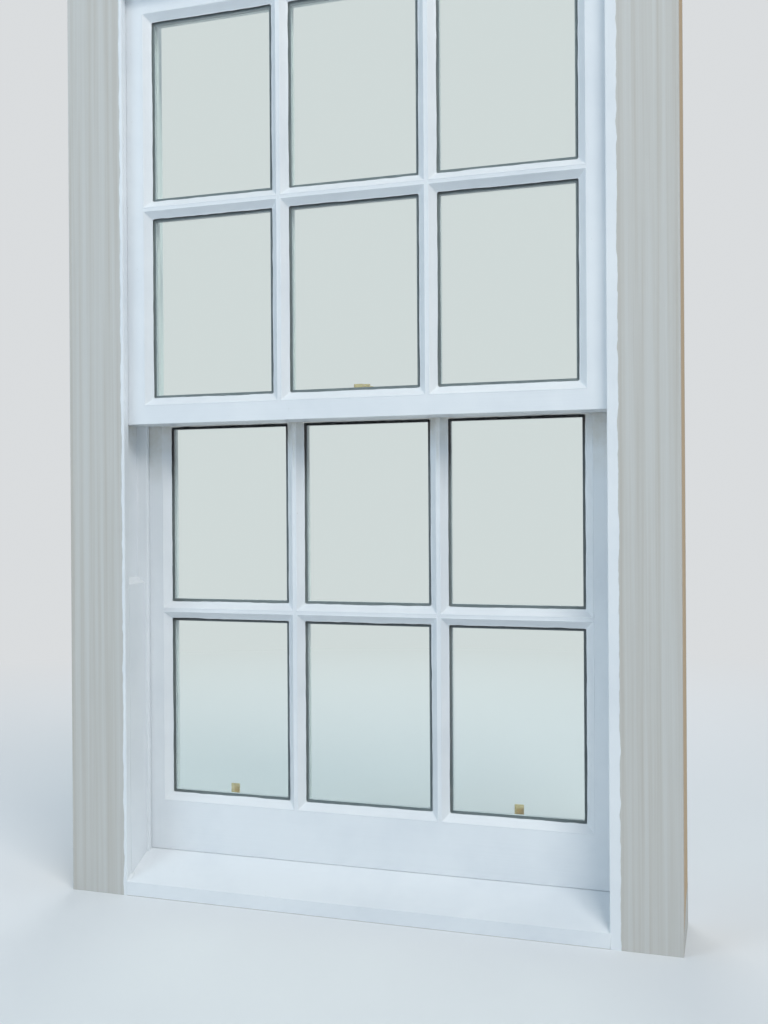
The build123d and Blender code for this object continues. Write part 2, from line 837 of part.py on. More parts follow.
def make_cord(face_y, sash_top_z, weight_top_z):
    """A cord from its knot in the sash, over the pulley and down to the weight."""
    middle_y = face_y + sash_thickness / 2
    knot_z = sash_top_z - cord_groove_length
    knot_x = sash_edge_x - knot_hole_depth / 2
    with BuildPart() as cord:
        with BuildLine() as path:
            rise = Line((cord_sash_x, middle_y, knot_z), (cord_sash_x, middle_y, pulley_z))
            ThreePointArc(
                rise @ 1,
                (wheel_x, middle_y, pulley_z + wheel_cord_radius),
                (cord_weight_x, middle_y, pulley_z),
            )
            Line((cord_weight_x, middle_y, pulley_z), (cord_weight_x, middle_y, weight_top_z + cord_play))
        with BuildSketch(Plane(origin=path.line @ 0, z_dir=(0, 0, 1))):
            Circle(cord_radius)
        sweep()
        with Locations((knot_x, middle_y, knot_z)):
            Sphere(knot_radius)
    return cord


def make_wheel(face_y):
    """A grooved pulley wheel with a raised hub and rim."""
    middle_y = face_y + sash_thickness / 2
    half = wheel_thickness / 2
    web = wheel_web_thickness / 2
    lip = (half + wheel_groove) / 2
    groove_foot = wheel_cord_radius - wheel_groove
    with BuildPart() as wheel:
        with BuildSketch(Plane(origin=(wheel_x, middle_y, pulley_z), x_dir=(1, 0, 0), z_dir=(0, 0, 1))):
            with BuildLine():
                Polyline(
                    (wheel_cord_radius, wheel_groove),
                    (wheel_radius, lip),
                    (wheel_radius, half),
                    (groove_foot - wheel_rim, half),
                    (groove_foot - wheel_rim - 1, web),
                    (wheel_hub_radius + 1, web),
                    (wheel_hub_radius, half),
                    (axle_radius + axle_play, half),
                    (axle_radius + axle_play, 0),
                )
                Line((axle_radius + axle_play, 0), (groove_foot, 0))
                RadiusArc((groove_foot, 0), (wheel_cord_radius, wheel_groove), wheel_groove)
            make_face()
            mirror(about=Plane.XZ)
        revolve(axis=Axis((wheel_x, middle_y, pulley_z), (0, 1, 0)))
    return wheel


def make_case(face_y):
    """A pulley's face plate, let into the stile, with its two cheeks."""
    middle_y = face_y + sash_thickness / 2
    plate_x = (stile_face_x, stile_face_x + case_plate_thickness)
    slot = wheel_thickness / 2 + wheel_play
    with BuildPart() as case:
        block(
            plate_x,
            (middle_y - case_plate_width / 2, middle_y + case_plate_width / 2),
            (pulley_z - case_plate_height / 2, pulley_z + case_plate_height / 2),
        )
        corners = case.edges().filter_by(Axis.X)
        fillet(corners, case_plate_width / 5)
        block(
            plate_x,
            (middle_y - slot, middle_y + slot),
            (pulley_z - case_slot_height / 2, pulley_z + case_slot_height / 2),
            Mode.SUBTRACT,
        )
        for near in (middle_y - slot - cheek_thickness, middle_y + slot):
            block(
                (plate_x[0], wheel_x + cheek_behind_axle),
                (near, near + cheek_thickness),
                (pulley_z - cheek_height / 2, pulley_z + cheek_height / 2),
            )
        with Locations((wheel_x, middle_y, pulley_z)):
            Cylinder(axle_radius, case_width, rotation=(90, 0, 0), mode=Mode.SUBTRACT)
    return case


upper_weight_top_z = upper_weight_foot + upper_weight_length
lower_weight_top_z = pulley_z - wheel_radius - lower_weight_drop
hangings = (
    ("upper", upper_face_y, upper_top_z, upper_weight_foot, upper_weight_length),
    ("lower", lower_face_y, lower_top_z, lower_weight_top_z - lower_weight_length, lower_weight_length),
)
with BuildPart() as pulley_cases:
    for _, face_y in pulley_rows:
        add(make_case(face_y).part)
    mirror(about=Plane.YZ)
save(pulley_cases, "pulley_cases")

with BuildPart() as pulley_axles:
    for _, face_y in pulley_rows:
        with Locations((wheel_x, face_y + sash_thickness / 2, pulley_z)):
            Cylinder(axle_radius, case_width, rotation=(90, 0, 0))
    mirror(about=Plane.YZ)
save(pulley_axles, "pulley_axles")

for name, face_y, sash_top_z, weight_foot_z, weight_length in hangings:
    save_pair(make_wheel(face_y), f"{name}_pulley_wheel")
    save_pair(make_weight(face_y, weight_foot_z, weight_length), f"{name}_weight")
    save_pair(make_cord(face_y, sash_top_z, weight_foot_z + weight_length), f"{name}_cord")
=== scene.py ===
# %% [markdown]
# # A painted box sash window
# This lesson dresses a double-hung sash window whose joinery is already made to size.
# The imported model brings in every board, bar, pulley and weight as a fixed frame.
# Here the looks are added: putty and paint worked by hand, sealed units, brass and cord.

import math

import bmesh
import bpy
import numpy as np
from mathutils import Matrix, Vector


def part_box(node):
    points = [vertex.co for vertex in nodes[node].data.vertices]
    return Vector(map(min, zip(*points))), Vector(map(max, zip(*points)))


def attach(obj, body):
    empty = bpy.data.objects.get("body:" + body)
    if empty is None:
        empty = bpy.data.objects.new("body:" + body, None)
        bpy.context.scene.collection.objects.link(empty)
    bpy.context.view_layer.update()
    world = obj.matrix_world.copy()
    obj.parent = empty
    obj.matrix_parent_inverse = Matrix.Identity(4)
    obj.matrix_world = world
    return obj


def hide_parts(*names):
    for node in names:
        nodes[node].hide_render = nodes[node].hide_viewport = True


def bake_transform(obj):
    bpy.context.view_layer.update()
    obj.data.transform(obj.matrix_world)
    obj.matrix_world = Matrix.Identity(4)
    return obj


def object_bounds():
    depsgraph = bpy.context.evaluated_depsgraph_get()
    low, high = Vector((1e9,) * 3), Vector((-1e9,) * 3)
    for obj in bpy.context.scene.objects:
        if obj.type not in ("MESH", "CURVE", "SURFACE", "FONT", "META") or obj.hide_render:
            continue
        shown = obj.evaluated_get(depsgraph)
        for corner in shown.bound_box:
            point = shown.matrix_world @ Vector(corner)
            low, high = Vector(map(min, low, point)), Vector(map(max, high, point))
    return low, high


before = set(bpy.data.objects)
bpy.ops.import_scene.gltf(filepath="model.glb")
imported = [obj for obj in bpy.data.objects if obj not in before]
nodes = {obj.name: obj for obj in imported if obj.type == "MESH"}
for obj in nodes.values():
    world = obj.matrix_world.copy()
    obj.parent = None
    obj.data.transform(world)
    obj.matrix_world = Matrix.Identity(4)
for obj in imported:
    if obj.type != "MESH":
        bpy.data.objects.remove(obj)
cad_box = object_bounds()
MM = 0.001
lowest, highest = ([round(v, 3) for v in corner] for corner in cad_box)
print(len(nodes), "pieces of joinery, box", lowest, highest)

# %% [markdown]
# The camera stands outdoors, to the right of the window and level with its lower sash.
# Its place and lens were worked out from the lines of the glazing bars.
# A lens and a sensor height stand for the picture, so no size in pixels is needed.

# %% Set the camera
CAMERA_AT = (0.5513, -1.6297, 0.6139)
YAW, PITCH, ROLL = math.radians(17.626), math.radians(-0.072), math.radians(-0.362)
FOCAL_IN_PIXELS = 1106.0
PICTURE_HEIGHT = 1024
SENSOR = 36.0

forward = Vector(
    (-math.sin(YAW) * math.cos(PITCH), math.cos(YAW) * math.cos(PITCH), math.sin(PITCH))
)
level_right = Vector((math.cos(YAW), math.sin(YAW), 0))
level_up = level_right.cross(forward)
right = level_right * math.cos(ROLL) + level_up * math.sin(ROLL)
up = level_up * math.cos(ROLL) - level_right * math.sin(ROLL)
lens = bpy.data.cameras.new("camera")
lens.sensor_fit = "VERTICAL"
lens.sensor_height = SENSOR
lens.lens = FOCAL_IN_PIXELS / PICTURE_HEIGHT * SENSOR
camera = bpy.data.objects.new("camera", lens)
bpy.context.scene.collection.objects.link(camera)
turn = Matrix((right, up, -forward)).transposed().to_4x4()
camera.matrix_world = Matrix.Translation(CAMERA_AT) @ turn
bpy.context.scene.camera = camera
print("camera at", CAMERA_AT, "lens", round(lens.lens, 1), "mm")

# %% [markdown]
# A material is a small graph of nodes. A few helpers keep the graphs short to write:
# one adds a node and fills its sockets with numbers or with other nodes' outputs,
# one starts a material with its shader, and each of the rest adds one common node.
# Patterns read Object coordinates, which stay in metres because every piece sits at the origin.


# %% Helpers for materials
def add_node(tree, kind, sockets=None, **settings):
    """One node: settings are its own values, and sockets its inputs, each a value or an output."""
    made = tree.nodes.new(kind)
    for key, value in settings.items():
        setattr(made, key, value)
    for key, value in (sockets or {}).items():
        if isinstance(value, bpy.types.NodeSocket):
            tree.links.new(value, made.inputs[key])
        else:
            made.inputs[key].default_value = value
    return made


def start_material(name, **values):
    """A material with a Principled shader, whose sockets take the given constants."""
    made = bpy.data.materials.new(name)
    made.use_nodes = True
    tree = made.node_tree
    shader = tree.nodes["Principled BSDF"]
    for key, value in values.items():
        shader.inputs[key.replace("_", " ")].default_value = value
    return made, tree, shader


def place(tree, scale=(1, 1, 1)):
    """Object coordinates, in metres, stretched by a scale for each axis."""
    where = add_node(tree, "ShaderNodeTexCoord")
    return add_node(
        tree, "ShaderNodeMapping", {"Vector": where.outputs["Object"], "Scale": scale}
    ).outputs["Vector"]


def noise(tree, where, scale=1.0, detail=2.0, rough=0.5):
    """Smooth noise between 0 and 1, with features about one over scale metres wide."""
    return add_node(
        tree,
        "ShaderNodeTexNoise",
        {"Vector": where, "Scale": scale, "Detail": detail, "Roughness": rough},
    ).outputs["Fac"]


def reckon(tree, operation, a, b=0.0):
    """One step of arithmetic between two values."""
    made = add_node(tree, "ShaderNodeMath", {0: a, 1: b}, operation=operation)
    return made.outputs["Value"]


def spread(tree, value, low, high, out_low=0.0, out_high=1.0):
    """Stretch the values between low and high over a new range, and hold the rest at its ends."""
    return add_node(
        tree,
        "ShaderNodeMapRange",
        {"Value": value, "From Min": low, "From Max": high, "To Min": out_low, "To Max": out_high},
    ).outputs["Result"]


def blend_colours(tree, share, first, second):
    """The first colour where share is 0 and the second where it is 1."""
    made = add_node(tree, "ShaderNodeMix", {"Factor": share}, data_type="RGBA")
    # A Mix node has sockets for numbers, vectors and colours: 6 and 7 are its two colours
    for socket, value in ((made.inputs[6], first), (made.inputs[7], second)):
        if isinstance(value, bpy.types.NodeSocket):
            tree.links.new(value, socket)
        else:
            socket.default_value = (*value, 1)
    return made.outputs[2]


def bump(tree, height, depth, below=None):
    """Turn a height between 0 and 1 into relief, depth metres deep, over the relief below."""
    sockets = {"Height": height, "Distance": depth, "Strength": 1.0}
    if below is not None:
        sockets["Normal"] = below
    return add_node(tree, "ShaderNodeBump", sockets).outputs["Normal"]


# %% [markdown]
# Exterior satin paint is never one flat white. A brush leaves long faint ridges along
# each board, the film pools into a slightly uneven gloss, and weather tints it here and there.
# Three noises give these: one drawn out along the board, one fine, and one broad.
# Primer is thin and matt, so the grain shows through it, and planed softwood shows its rings.
# Each function gives one finish as colour, roughness and height, for a material to stack.

# %% Layers of paint, timber and primer
PAINT_WHITE = (0.79, 0.82, 0.845)
PAINT_SHADE = (0.72, 0.755, 0.79)
PAINT_GRIME = (0.42, 0.41, 0.36)
# Brown for the dirt and painted shade just under the meeting rail
PAINT_DIRT_AND_SHADE = (0.50, 0.44, 0.31)
PRIMER_PALE = (0.57, 0.57, 0.55)
PRIMER_THIN = (0.49, 0.47, 0.43)
TIMBER_LIGHT = (0.56, 0.41, 0.25)
TIMBER_DARK = (0.40, 0.26, 0.14)
# How far a pattern is stretched along x, y and z, so that its strokes run along one axis
ALONG = {"x": (2.5, 260, 260), "z": (260, 260, 2.5)}
# Features to a metre in the pooled film, the weathering, the specks, and the patches of dirt and
# painted shade
POOL_SCALE, WEATHER_SCALE, SPECK_SCALE, DIRT_AND_SHADE_SCALE = 55.0, 5.0, 240.0, 40.0
# Depth of each relief, in metres
BRUSH_RIDGES = 0.00020
POOLED_FILM = 0.00016
OPEN_GRAIN = 0.00020
FILM_EDGE = 0.00025


def paint_layers(tree, grain):
    """Colour, roughness and height of brushed paint whose strokes run along one axis."""
    ridges = noise(tree, place(tree, ALONG[grain]), 1.0, 3.0, 0.6)
    pooled = noise(tree, place(tree), POOL_SCALE, 3.0)
    weather = noise(tree, place(tree), WEATHER_SCALE, 4.0, 0.6)
    colour = blend_colours(tree, spread(tree, weather, 0.42, 0.70), PAINT_WHITE, PAINT_SHADE)
    specks = noise(tree, place(tree), SPECK_SCALE, 2.0)
    colour = blend_colours(tree, spread(tree, specks, 0.74, 0.82, 0.0, 0.35), colour, PAINT_GRIME)
    rough = spread(tree, pooled, 0.3, 0.7, 0.30, 0.46)
    return colour, rough, ridges, pooled


def timber_layers(tree, grain):
    """Colour, roughness and height of planed softwood with its rings drawn out along one axis."""
    scale = tuple(v / 3 for v in ALONG[grain])
    warped = noise(tree, place(tree, scale), 1.0, 4.0, 0.65)
    broad = place(tree, tuple(v / 6 for v in ALONG[grain]))
    rings = add_node(
        tree,
        "ShaderNodeTexWave",
        {"Vector": broad, "Scale": 1.6, "Distortion": 7.0, "Detail": 3.0},
        bands_direction="Y",
    ).outputs["Fac"]
    share = reckon(tree, "MULTIPLY", warped, rings)
    colour = blend_colours(tree, spread(tree, share, 0.1, 0.6), TIMBER_LIGHT, TIMBER_DARK)
    return colour, 0.72, warped


def primer_layers(tree, grain):
    """Colour, roughness and height of thin primer that the timber's grain shows through."""
    scale = tuple(v / 3 for v in ALONG[grain])
    streaks = noise(tree, place(tree, scale), 1.0, 4.0, 0.65)
    brushed = noise(tree, place(tree, ALONG[grain]), 1.0, 3.0)
    share = reckon(tree, "MULTIPLY", streaks, reckon(tree, "ADD", brushed, 0.5))
    colour = blend_colours(tree, spread(tree, share, 0.35, 0.75), PRIMER_PALE, PRIMER_THIN)
    return colour, 0.78, streaks


# %% [markdown]
# One material stacks these layers: brushed paint on top, dirt and painted shade worked into
# it just under the meeting rail, and what lies under it where the brush stopped. The film of
# paint has a thickness, so its edge is a small step in the relief.


# %% Brush the paint on
def paint(name, grain, bare=None, under=timber_layers, dirt_and_shade=None):
    """Brush paint along x or z. bare(tree) may give 1 where the board is left unpainted,
    with the under layers there, and dirt_and_shade(tree) a share of dirt and painted shade."""
    made, tree, shader = start_material(name, Specular_IOR_Level=0.5)
    colour, rough, ridges, pooled = paint_layers(tree, grain)
    height = bump(tree, ridges, BRUSH_RIDGES)
    height = bump(tree, pooled, POOLED_FILM, below=height)
    # Dirt and painted shade just under the meeting rail, broken into patches
    if dirt_and_shade is not None:
        patches = noise(tree, place(tree), DIRT_AND_SHADE_SCALE, 4.0, 0.65)
        patchy = spread(tree, patches, 0.3, 0.7, 0.25, 1.0)
        dirt_and_shade_share = reckon(tree, "MULTIPLY", dirt_and_shade(tree), patchy)
        colour = blend_colours(tree, dirt_and_shade_share, colour, PAINT_DIRT_AND_SHADE)
    if bare is not None:
        wood, wood_rough, wood_height = under(tree, grain)
        share = bare(tree)
        colour = blend_colours(tree, share, colour, wood)
        rough = spread(tree, share, 0.0, 1.0, rough, wood_rough)
        height = bump(tree, wood_height, OPEN_GRAIN, below=height)
        film = reckon(tree, "SUBTRACT", 1.0, share)
        height = bump(tree, film, FILM_EDGE, below=height)
    tree.links.new(colour, shader.inputs["Base Color"])
    tree.links.new(rough, shader.inputs["Roughness"])
    tree.links.new(height, shader.inputs["Normal"])
    return made


# %% [markdown]
# Part of a lining is hidden once the window is built in. There the topcoat stops, at a
# wandering edge cut in by hand, and matt primer shows beyond it. Inside the box the softwood
# was never painted. Just under the meeting rail the paint turns darker and browner: dirt and
# painted shade. Each of these places is a mask: a value between 0 and 1 that is worked out from
# Object coordinates, in metres, so it stays on its board as the sash slides.

# %% Masks for cut-in edges, bare timber and dirt
MASK_EDGE = 0.0003
DRIFT_SCALE = 28.0
CUT_IN_X, CUT_IN_MIDDLE, CUT_IN_Z, CUT_IN_WANDER = 0.3915, 0.005, 1.4540, 0.007
SILL_SIGHT_X = 0.3818
SILL_ROOM_Y = (0.0660, 0.0664)
SILL_FOOT_MIDDLE, SILL_FOOT_REACH = 0.1, 0.0992
STILE_BACK_X = 0.3962
INNER_LINING_MIDDLE, INNER_LINING_REACH = 0.0645, 0.0115
HEAD_TOP_Z = 1.4568
# Softness of the top edge, and strength, of the dirt and painted shade under the meeting rail
DIRT_AND_SHADE_EDGE, DIRT_AND_SHADE_SHARE = 0.004, 0.6


def axis_value(tree, axis):
    """The Object coordinate along one axis, in metres."""
    parts = add_node(tree, "ShaderNodeSeparateXYZ", {"Vector": place(tree)})
    return parts.outputs["XYZ".index(axis.upper())]


def beyond(axis, limit, middle=0.0, wander=0.0):
    """A mask that is 1 where a coordinate lies further than limit from middle.
    Its edge drifts to and fro by wander."""

    def mask(tree):
        away = reckon(tree, "ABSOLUTE", reckon(tree, "SUBTRACT", axis_value(tree, axis), middle))
        drift = reckon(tree, "SUBTRACT", noise(tree, place(tree), DRIFT_SCALE, 3.0), 0.5)
        away = reckon(tree, "ADD", away, reckon(tree, "MULTIPLY", drift, wander))
        return spread(tree, away, limit - MASK_EDGE, limit + MASK_EDGE)

    return mask


def close_under(height, depth):
    """A share of dirt and painted shade, strongest just under a height, fading depth metres below.
    """

    def mask(tree):
        level = axis_value(tree, "z")
        below = spread(tree, level, height, height + DIRT_AND_SHADE_EDGE, 1.0, 0.0)
        near = spread(tree, level, height - depth, height, 0.0, DIRT_AND_SHADE_SHARE)
        return reckon(tree, "MULTIPLY", below, near)

    return mask


def lining_hidden(tree):
    """The outer linings past the cut-in edge, at the sides and at the head."""
    sides = beyond("x", CUT_IN_X, CUT_IN_MIDDLE, CUT_IN_WANDER)(tree)
    return reckon(tree, "MAXIMUM", sides, beyond("z", CUT_IN_Z, 0.0, CUT_IN_WANDER)(tree))


def sill_hidden(tree):
    """The sill's foot, and its two ends but for the face towards the room."""
    ends = beyond("x", SILL_SIGHT_X)(tree)
    outside = spread(tree, axis_value(tree, "y"), *SILL_ROOM_Y, 1.0, 0.0)
    ends = reckon(tree, "MULTIPLY", ends, outside)
    foot = beyond("z", SILL_FOOT_REACH, SILL_FOOT_MIDDLE, 0.001)(tree)
    return reckon(tree, "MAXIMUM", ends, foot)


# %% [markdown]
# Strokes follow the length of a board, so uprights and level boards need a paint each.
# Partly hidden boards, and those with dirt and painted shade under the meeting rail, get one more.

# %% Mix a paint for each kind of board
# Foot of the upper meeting rail: dirt and painted shade are mixed in just under it
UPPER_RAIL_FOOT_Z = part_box("upper_meeting_rail")[0].z
paint_upright = paint("paint_upright", "z")
paint_level = paint("paint_level", "x")
# Lower stiles and bars: dirt and painted shade darken them just under the meeting rail
paint_dirt_and_shade = paint("dirt_and_shade_paint", "z", dirt_and_shade=close_under(UPPER_RAIL_FOOT_Z, 0.10))
lining_side = paint("lining_side_paint", "z", lining_hidden, primer_layers)
lining_top = paint("lining_top_paint", "x", lining_hidden, primer_layers)
# The pulley stiles take the same dirt and painted shade under the meeting rail
stile_paint = paint(
    "pulley_stile_paint", "z", beyond("x", STILE_BACK_X), dirt_and_shade=close_under(UPPER_RAIL_FOOT_Z, 0.05)
)
inner_side = paint(
    "inner_lining_paint", "z", beyond("y", INNER_LINING_REACH, INNER_LINING_MIDDLE), primer_layers
)
head_paint = paint("head_paint", "x", beyond("z", HEAD_TOP_Z))
sill_paint = paint("sill_paint", "x", sill_hidden, primer_layers)
print("paints:", len([m for m in bpy.data.materials if "paint" in m.name]))

# %% [markdown]
# Timber inside the box is never seen from the room, so it is left as it came from the plane.
# Cast iron weights are rough and dark, turned steel pins are bright, and brass has dulled in
# patches. The spacer between the sheets of glass is a satin grey-blue strip.


# %% Make the bare timber and the metals
def bare_timber():
    """Planed softwood along z."""
    made, tree, shader = start_material("bare_timber")
    colour, rough, height = timber_layers(tree, "z")
    tree.links.new(colour, shader.inputs["Base Color"])
    shader.inputs["Roughness"].default_value = rough
    tree.links.new(bump(tree, height, OPEN_GRAIN), shader.inputs["Normal"])
    return made


def metal(name, colour, worn, rough, scale, relief, metallic=1.0):
    """A metal whose colour and gloss change in patches, scale of them to a metre, with a fine
    relief that is given in metres."""
    made, tree, shader = start_material(name, Metallic=metallic)
    patches = noise(tree, place(tree), scale, 4.0, 0.6)
    fine = noise(tree, place(tree), scale * 9, 2.0)
    patched = blend_colours(tree, spread(tree, patches, 0.40, 0.68), colour, worn)
    gloss = spread(tree, patches, 0.3, 0.7, rough * 0.75, rough * 1.35)
    tree.links.new(patched, shader.inputs["Base Color"])
    tree.links.new(gloss, shader.inputs["Roughness"])
    tree.links.new(bump(tree, fine, relief), shader.inputs["Normal"])
    return made


timber = bare_timber()
cast_iron = metal("cast_iron", (0.045, 0.042, 0.040), (0.11, 0.07, 0.05), 0.62, 60, 0.0004, 0.85)
steel = metal("turned_steel", (0.48, 0.48, 0.49), (0.38, 0.37, 0.36), 0.30, 200, 0.00002)
brass = metal("brass", (0.80, 0.65, 0.34), (0.62, 0.47, 0.21), 0.24, 90, 0.00003)
spacer_bar = metal("spacer_bar", (0.42, 0.49, 0.55), (0.50, 0.56, 0.61), 0.42, 40, 0.00003, 0.15)
print("timber and metals:", [m.name for m in (timber, cast_iron, steel, brass, spacer_bar)])

# %% [markdown]
# The panes are sealed units: two clear sheets on a slim grey spacer. Each sheet is a solid with
# real thickness, so a plain transmitting shader bends and reflects light as glass does.
# A little green in the colour is what float glass shows. Light for the shadows goes
# straight through, or the floor behind would be black.

# %% Make the glass
GLASS_TINT, SHADOW_TINT = (0.945, 0.982, 0.967, 1), (0.93, 0.97, 0.95, 1)


def clear_glass():
    """Float glass that lets shadow light through."""
    made, tree, shader = start_material(
        "clear_glass",
        Base_Color=GLASS_TINT,
        Roughness=0.0,
        IOR=1.5,
        Transmission_Weight=1.0,
    )
    paths = add_node(tree, "ShaderNodeLightPath")
    through = add_node(tree, "ShaderNodeBsdfTransparent", {"Color": SHADOW_TINT})
    mixed = add_node(
        tree,
        "ShaderNodeMixShader",
        {0: paths.outputs["Is Shadow Ray"], 1: shader.outputs[0], 2: through.outputs[0]},
    )
    tree.links.new(mixed.outputs[0], tree.nodes["Material Output"].inputs["Surface"])
    return made


glass = clear_glass()
print("glass:", glass.name)

# %% [markdown]
# Each board keeps its own mesh and takes a finish from one table, by its name or by its name
# without its side. The second number is how far its arrises are rounded, in millimetres.
# Boards that meet flush are rounded less, or an open groove would show at each joint.

# %% Choose every board's finish
FINISH = {
    "sill": (sill_paint, 1.6),
    "pulley_stile": (stile_paint, 0.0),
    "pocket_pieces": (paint_upright, 0.3),
    "head": (head_paint, 0.0),
    "back_lining": (timber, 0.6),
    "outer_lining_left": (lining_side, 1.3),
    "outer_lining_right": (lining_side, 1.3),
    "outer_lining_head": (lining_top, 1.3),
    "inner_lining": (inner_side, 0.8),
    "inner_lining_head": (paint_level, 0.8),
    "parting_bead": (paint_upright, 0.0),
    "staff_bead": (paint_upright, 0.7),
    "staff_bead_head": (paint_level, 0.7),
    "staff_bead_sill": (paint_level, 0.7),
    "stop_block": (paint_upright, 1.2),
    "wagtails": (timber, 0.4),
    "pulley_cases": (brass, 0.3),
    "pulley_axles": (steel, 0.0),
    "upper_pulley_wheel": (brass, 0.0),
    "lower_pulley_wheel": (brass, 0.0),
    "upper_weight": (cast_iron, 0.0),
    "lower_weight": (cast_iron, 0.0),
    "upper_stile": (paint_upright, 0.35),
    # The lower stiles and bars take dirt and painted shade just under the meeting rail
    "lower_stile": (paint_dirt_and_shade, 0.35),
    "upper_top_rail": (paint_level, 0.4),
    "upper_meeting_rail": (paint_level, 0.9),
    "lower_meeting_rail": (paint_level, 0.9),
    "lower_bottom_rail": (paint_level, 0.6),
    "upper_bar": (paint_upright, 0.3),
    "lower_bar": (paint_dirt_and_shade, 0.3),
    "upper_cross_bar": (paint_level, 0.3),
    "lower_cross_bar": (paint_level, 0.3),
    "upper_glass": (glass, 0.0),
    "lower_glass": (glass, 0.0),
    "upper_spacers": (spacer_bar, 0.0),
    "lower_spacers": (spacer_bar, 0.0),
    "catch_plate": (brass, 0.5),
    "catch_arm": (brass, 0.5),
    "catch_keep": (brass, 0.7),
    "hook_lifts": (brass, 0.7),
}
print(len(FINISH), "rows of finishes")

# %% [markdown]
# A plane and a few coats of paint leave no sharp edge. The mesh comes as loose triangles,
# so a Weld modifier joins them first, and a Bevel modifier then rounds the arrises.

# %% Give every board its finish
WELD_WITHIN = 0.00002
SHARP_FROM = math.radians(40)


def round_arrises(piece, radius):
    """Join the loose triangles and round every sharp edge by radius millimetres."""
    weld = piece.modifiers.new("weld", "WELD")
    weld.merge_threshold = WELD_WITHIN
    rounding = piece.modifiers.new("arris", "BEVEL")
    rounding.width = radius * MM
    rounding.segments = 2
    rounding.limit_method = "ANGLE"
    rounding.angle_limit = SHARP_FROM
    rounding.use_clamp_overlap = True


dressed = []
for name, piece in nodes.items():
    key = name if name in FINISH else name.rsplit("_", 1)[0]
    if key not in FINISH:
        continue
    finish, radius = FINISH[key]
    piece.data.materials.clear()
    piece.data.materials.append(finish)
    if radius:
        round_arrises(piece, radius)
    dressed.append(name)
print(len(dressed), "boards and fittings dressed")
print("still to be replaced:", sorted(set(nodes) - set(dressed)))

# %% [markdown]
# New pieces are surfaces on a grid. A helper turns arrays of points into one mesh:
# each sheet of points has one axis along the piece and one around its section, and either
# axis may close on itself. All faces come from index arithmetic on whole arrays.

# %% Helpers that make a mesh from sheets of points
JOIN_WITHIN = 0.000002


def grid_faces(rows, columns, close_rows, close_columns):
    """Quads between neighbouring points of a grid whose points are numbered row by row."""
    down = np.arange(rows if close_rows else rows - 1)[:, None]
    across = np.arange(columns if close_columns else columns - 1)[None, :]
    below, beside = (down + 1) % rows, (across + 1) % columns
    row, next_row = down * columns, below * columns
    corners = (row + across, row + beside, next_row + beside, next_row + across)
    return np.stack(corners, -1).reshape(-1, 4)


def close_ends(sections):
    """Close both ends of a run of sections with a point in the middle of the end section."""
    ends = np.repeat(sections[[0, -1]].mean(1, keepdims=True), sections.shape[1], 1)
    return np.concatenate([ends[:1], sections, ends[1:]])


def row_lengths(sheet):
    """Metres from the first row to each row, measured between the middles of the rows."""
    steps = np.linalg.norm(np.diff(sheet.mean(1), axis=0), axis=1)
    return np.concatenate([[0], np.cumsum(steps)])


def make_piece(name, sheets, body, finish, smooth=True, as_cord=False):
    """One object from sheets of points, each given as points, close_rows and close_columns.
    A cord's map runs along it in metres, and its end faces are shaded flat."""
    points, faces, coords, soft, start = [], [], [], [], 0
    for sheet, close_rows, close_columns in sheets:
        rows, columns = sheet.shape[:2]
        quads = grid_faces(rows, columns, close_rows, close_columns)
        points.append(sheet.reshape(-1, 3))
        faces.append(quads + start)
        v, u = np.divmod(quads, columns)
        # The last quad of a closed section ends at the map's edge, and doesn't run back to 0
        u = np.where((u == 0) & (np.roll(u, 1, 1) == columns - 1), columns, u)
        shading = np.full(len(quads), smooth)
        if as_cord:
            v = row_lengths(sheet)[v]
            shading[:columns] = shading[-columns:] = False
        else:
            v = v / rows
        coords.append(np.stack([u / columns, v], -1).reshape(-1, 2))
        soft.append(shading)
        start += rows * columns
    points, faces = np.concatenate(points), np.concatenate(faces)
    coords, soft = np.concatenate(coords), np.concatenate(soft)
    mesh = bpy.data.meshes.new(name)
    mesh.vertices.add(len(points))
    mesh.vertices.foreach_set("co", points.astype(np.float32).ravel())
    mesh.loops.add(faces.size)
    mesh.loops.foreach_set("vertex_index", faces.astype(np.int32).ravel())
    mesh.polygons.add(len(faces))
    mesh.polygons.foreach_set("loop_start", np.arange(0, faces.size, 4, dtype=np.int32))
    mesh.polygons.foreach_set("use_smooth", soft)
    mesh.uv_layers.new(name="map").data.foreach_set("uv", coords.astype(np.float32).ravel())
    mesh.update(calc_edges=True)
    joined = bmesh.new()
    joined.from_mesh(mesh)
    bmesh.ops.remove_doubles(joined, verts=joined.verts, dist=JOIN_WITHIN)
    joined.to_mesh(mesh)
    joined.free()
    mesh.materials.append(finish)
    made = bpy.data.objects.new(name, mesh)
    bpy.context.scene.collection.objects.link(made)
    if body:
        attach(made, body)
    return made


# %% [markdown]
# Putty is the part of a sash that a hand shapes. It slopes from the nose of the bar down to
# the glass, its corners are rounded by the knife, and paint laps a millimetre or two onto
# the glass with an edge that wanders. One ring serves for each pane: its section is a short list
# of offsets, and its path is a rectangle with rounded corners.

# %% Sizes and section of the putty
# Millimetres: a pane's width and height, the bars, each sash's outer face and lowest sight line
PANE = (210.0, 290.0)
BAR = 26.5
MEETING_RAIL = 41.0
FACE_Y = {"upper": -52.0, "lower": 5.0}
UPPER_SIGHT_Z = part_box("upper_meeting_rail")[1].z / MM
SIGHT_Z = {"upper": UPPER_SIGHT_Z, "lower": UPPER_SIGHT_Z - MEETING_RAIL - 2 * PANE[1] - BAR}
SIDE_REBATE, BAR_REBATE = 11.0, 10.25
# Points along a side and round a corner, and the waves and size of the edge's drift and the
# slope's sag
SIDE_POINTS, CORNER_POINTS = 64, 7
EDGE_WAVES, EDGE_DRIFT = 46, 0.55
SAG_WAVES, SAG = 20, 0.22
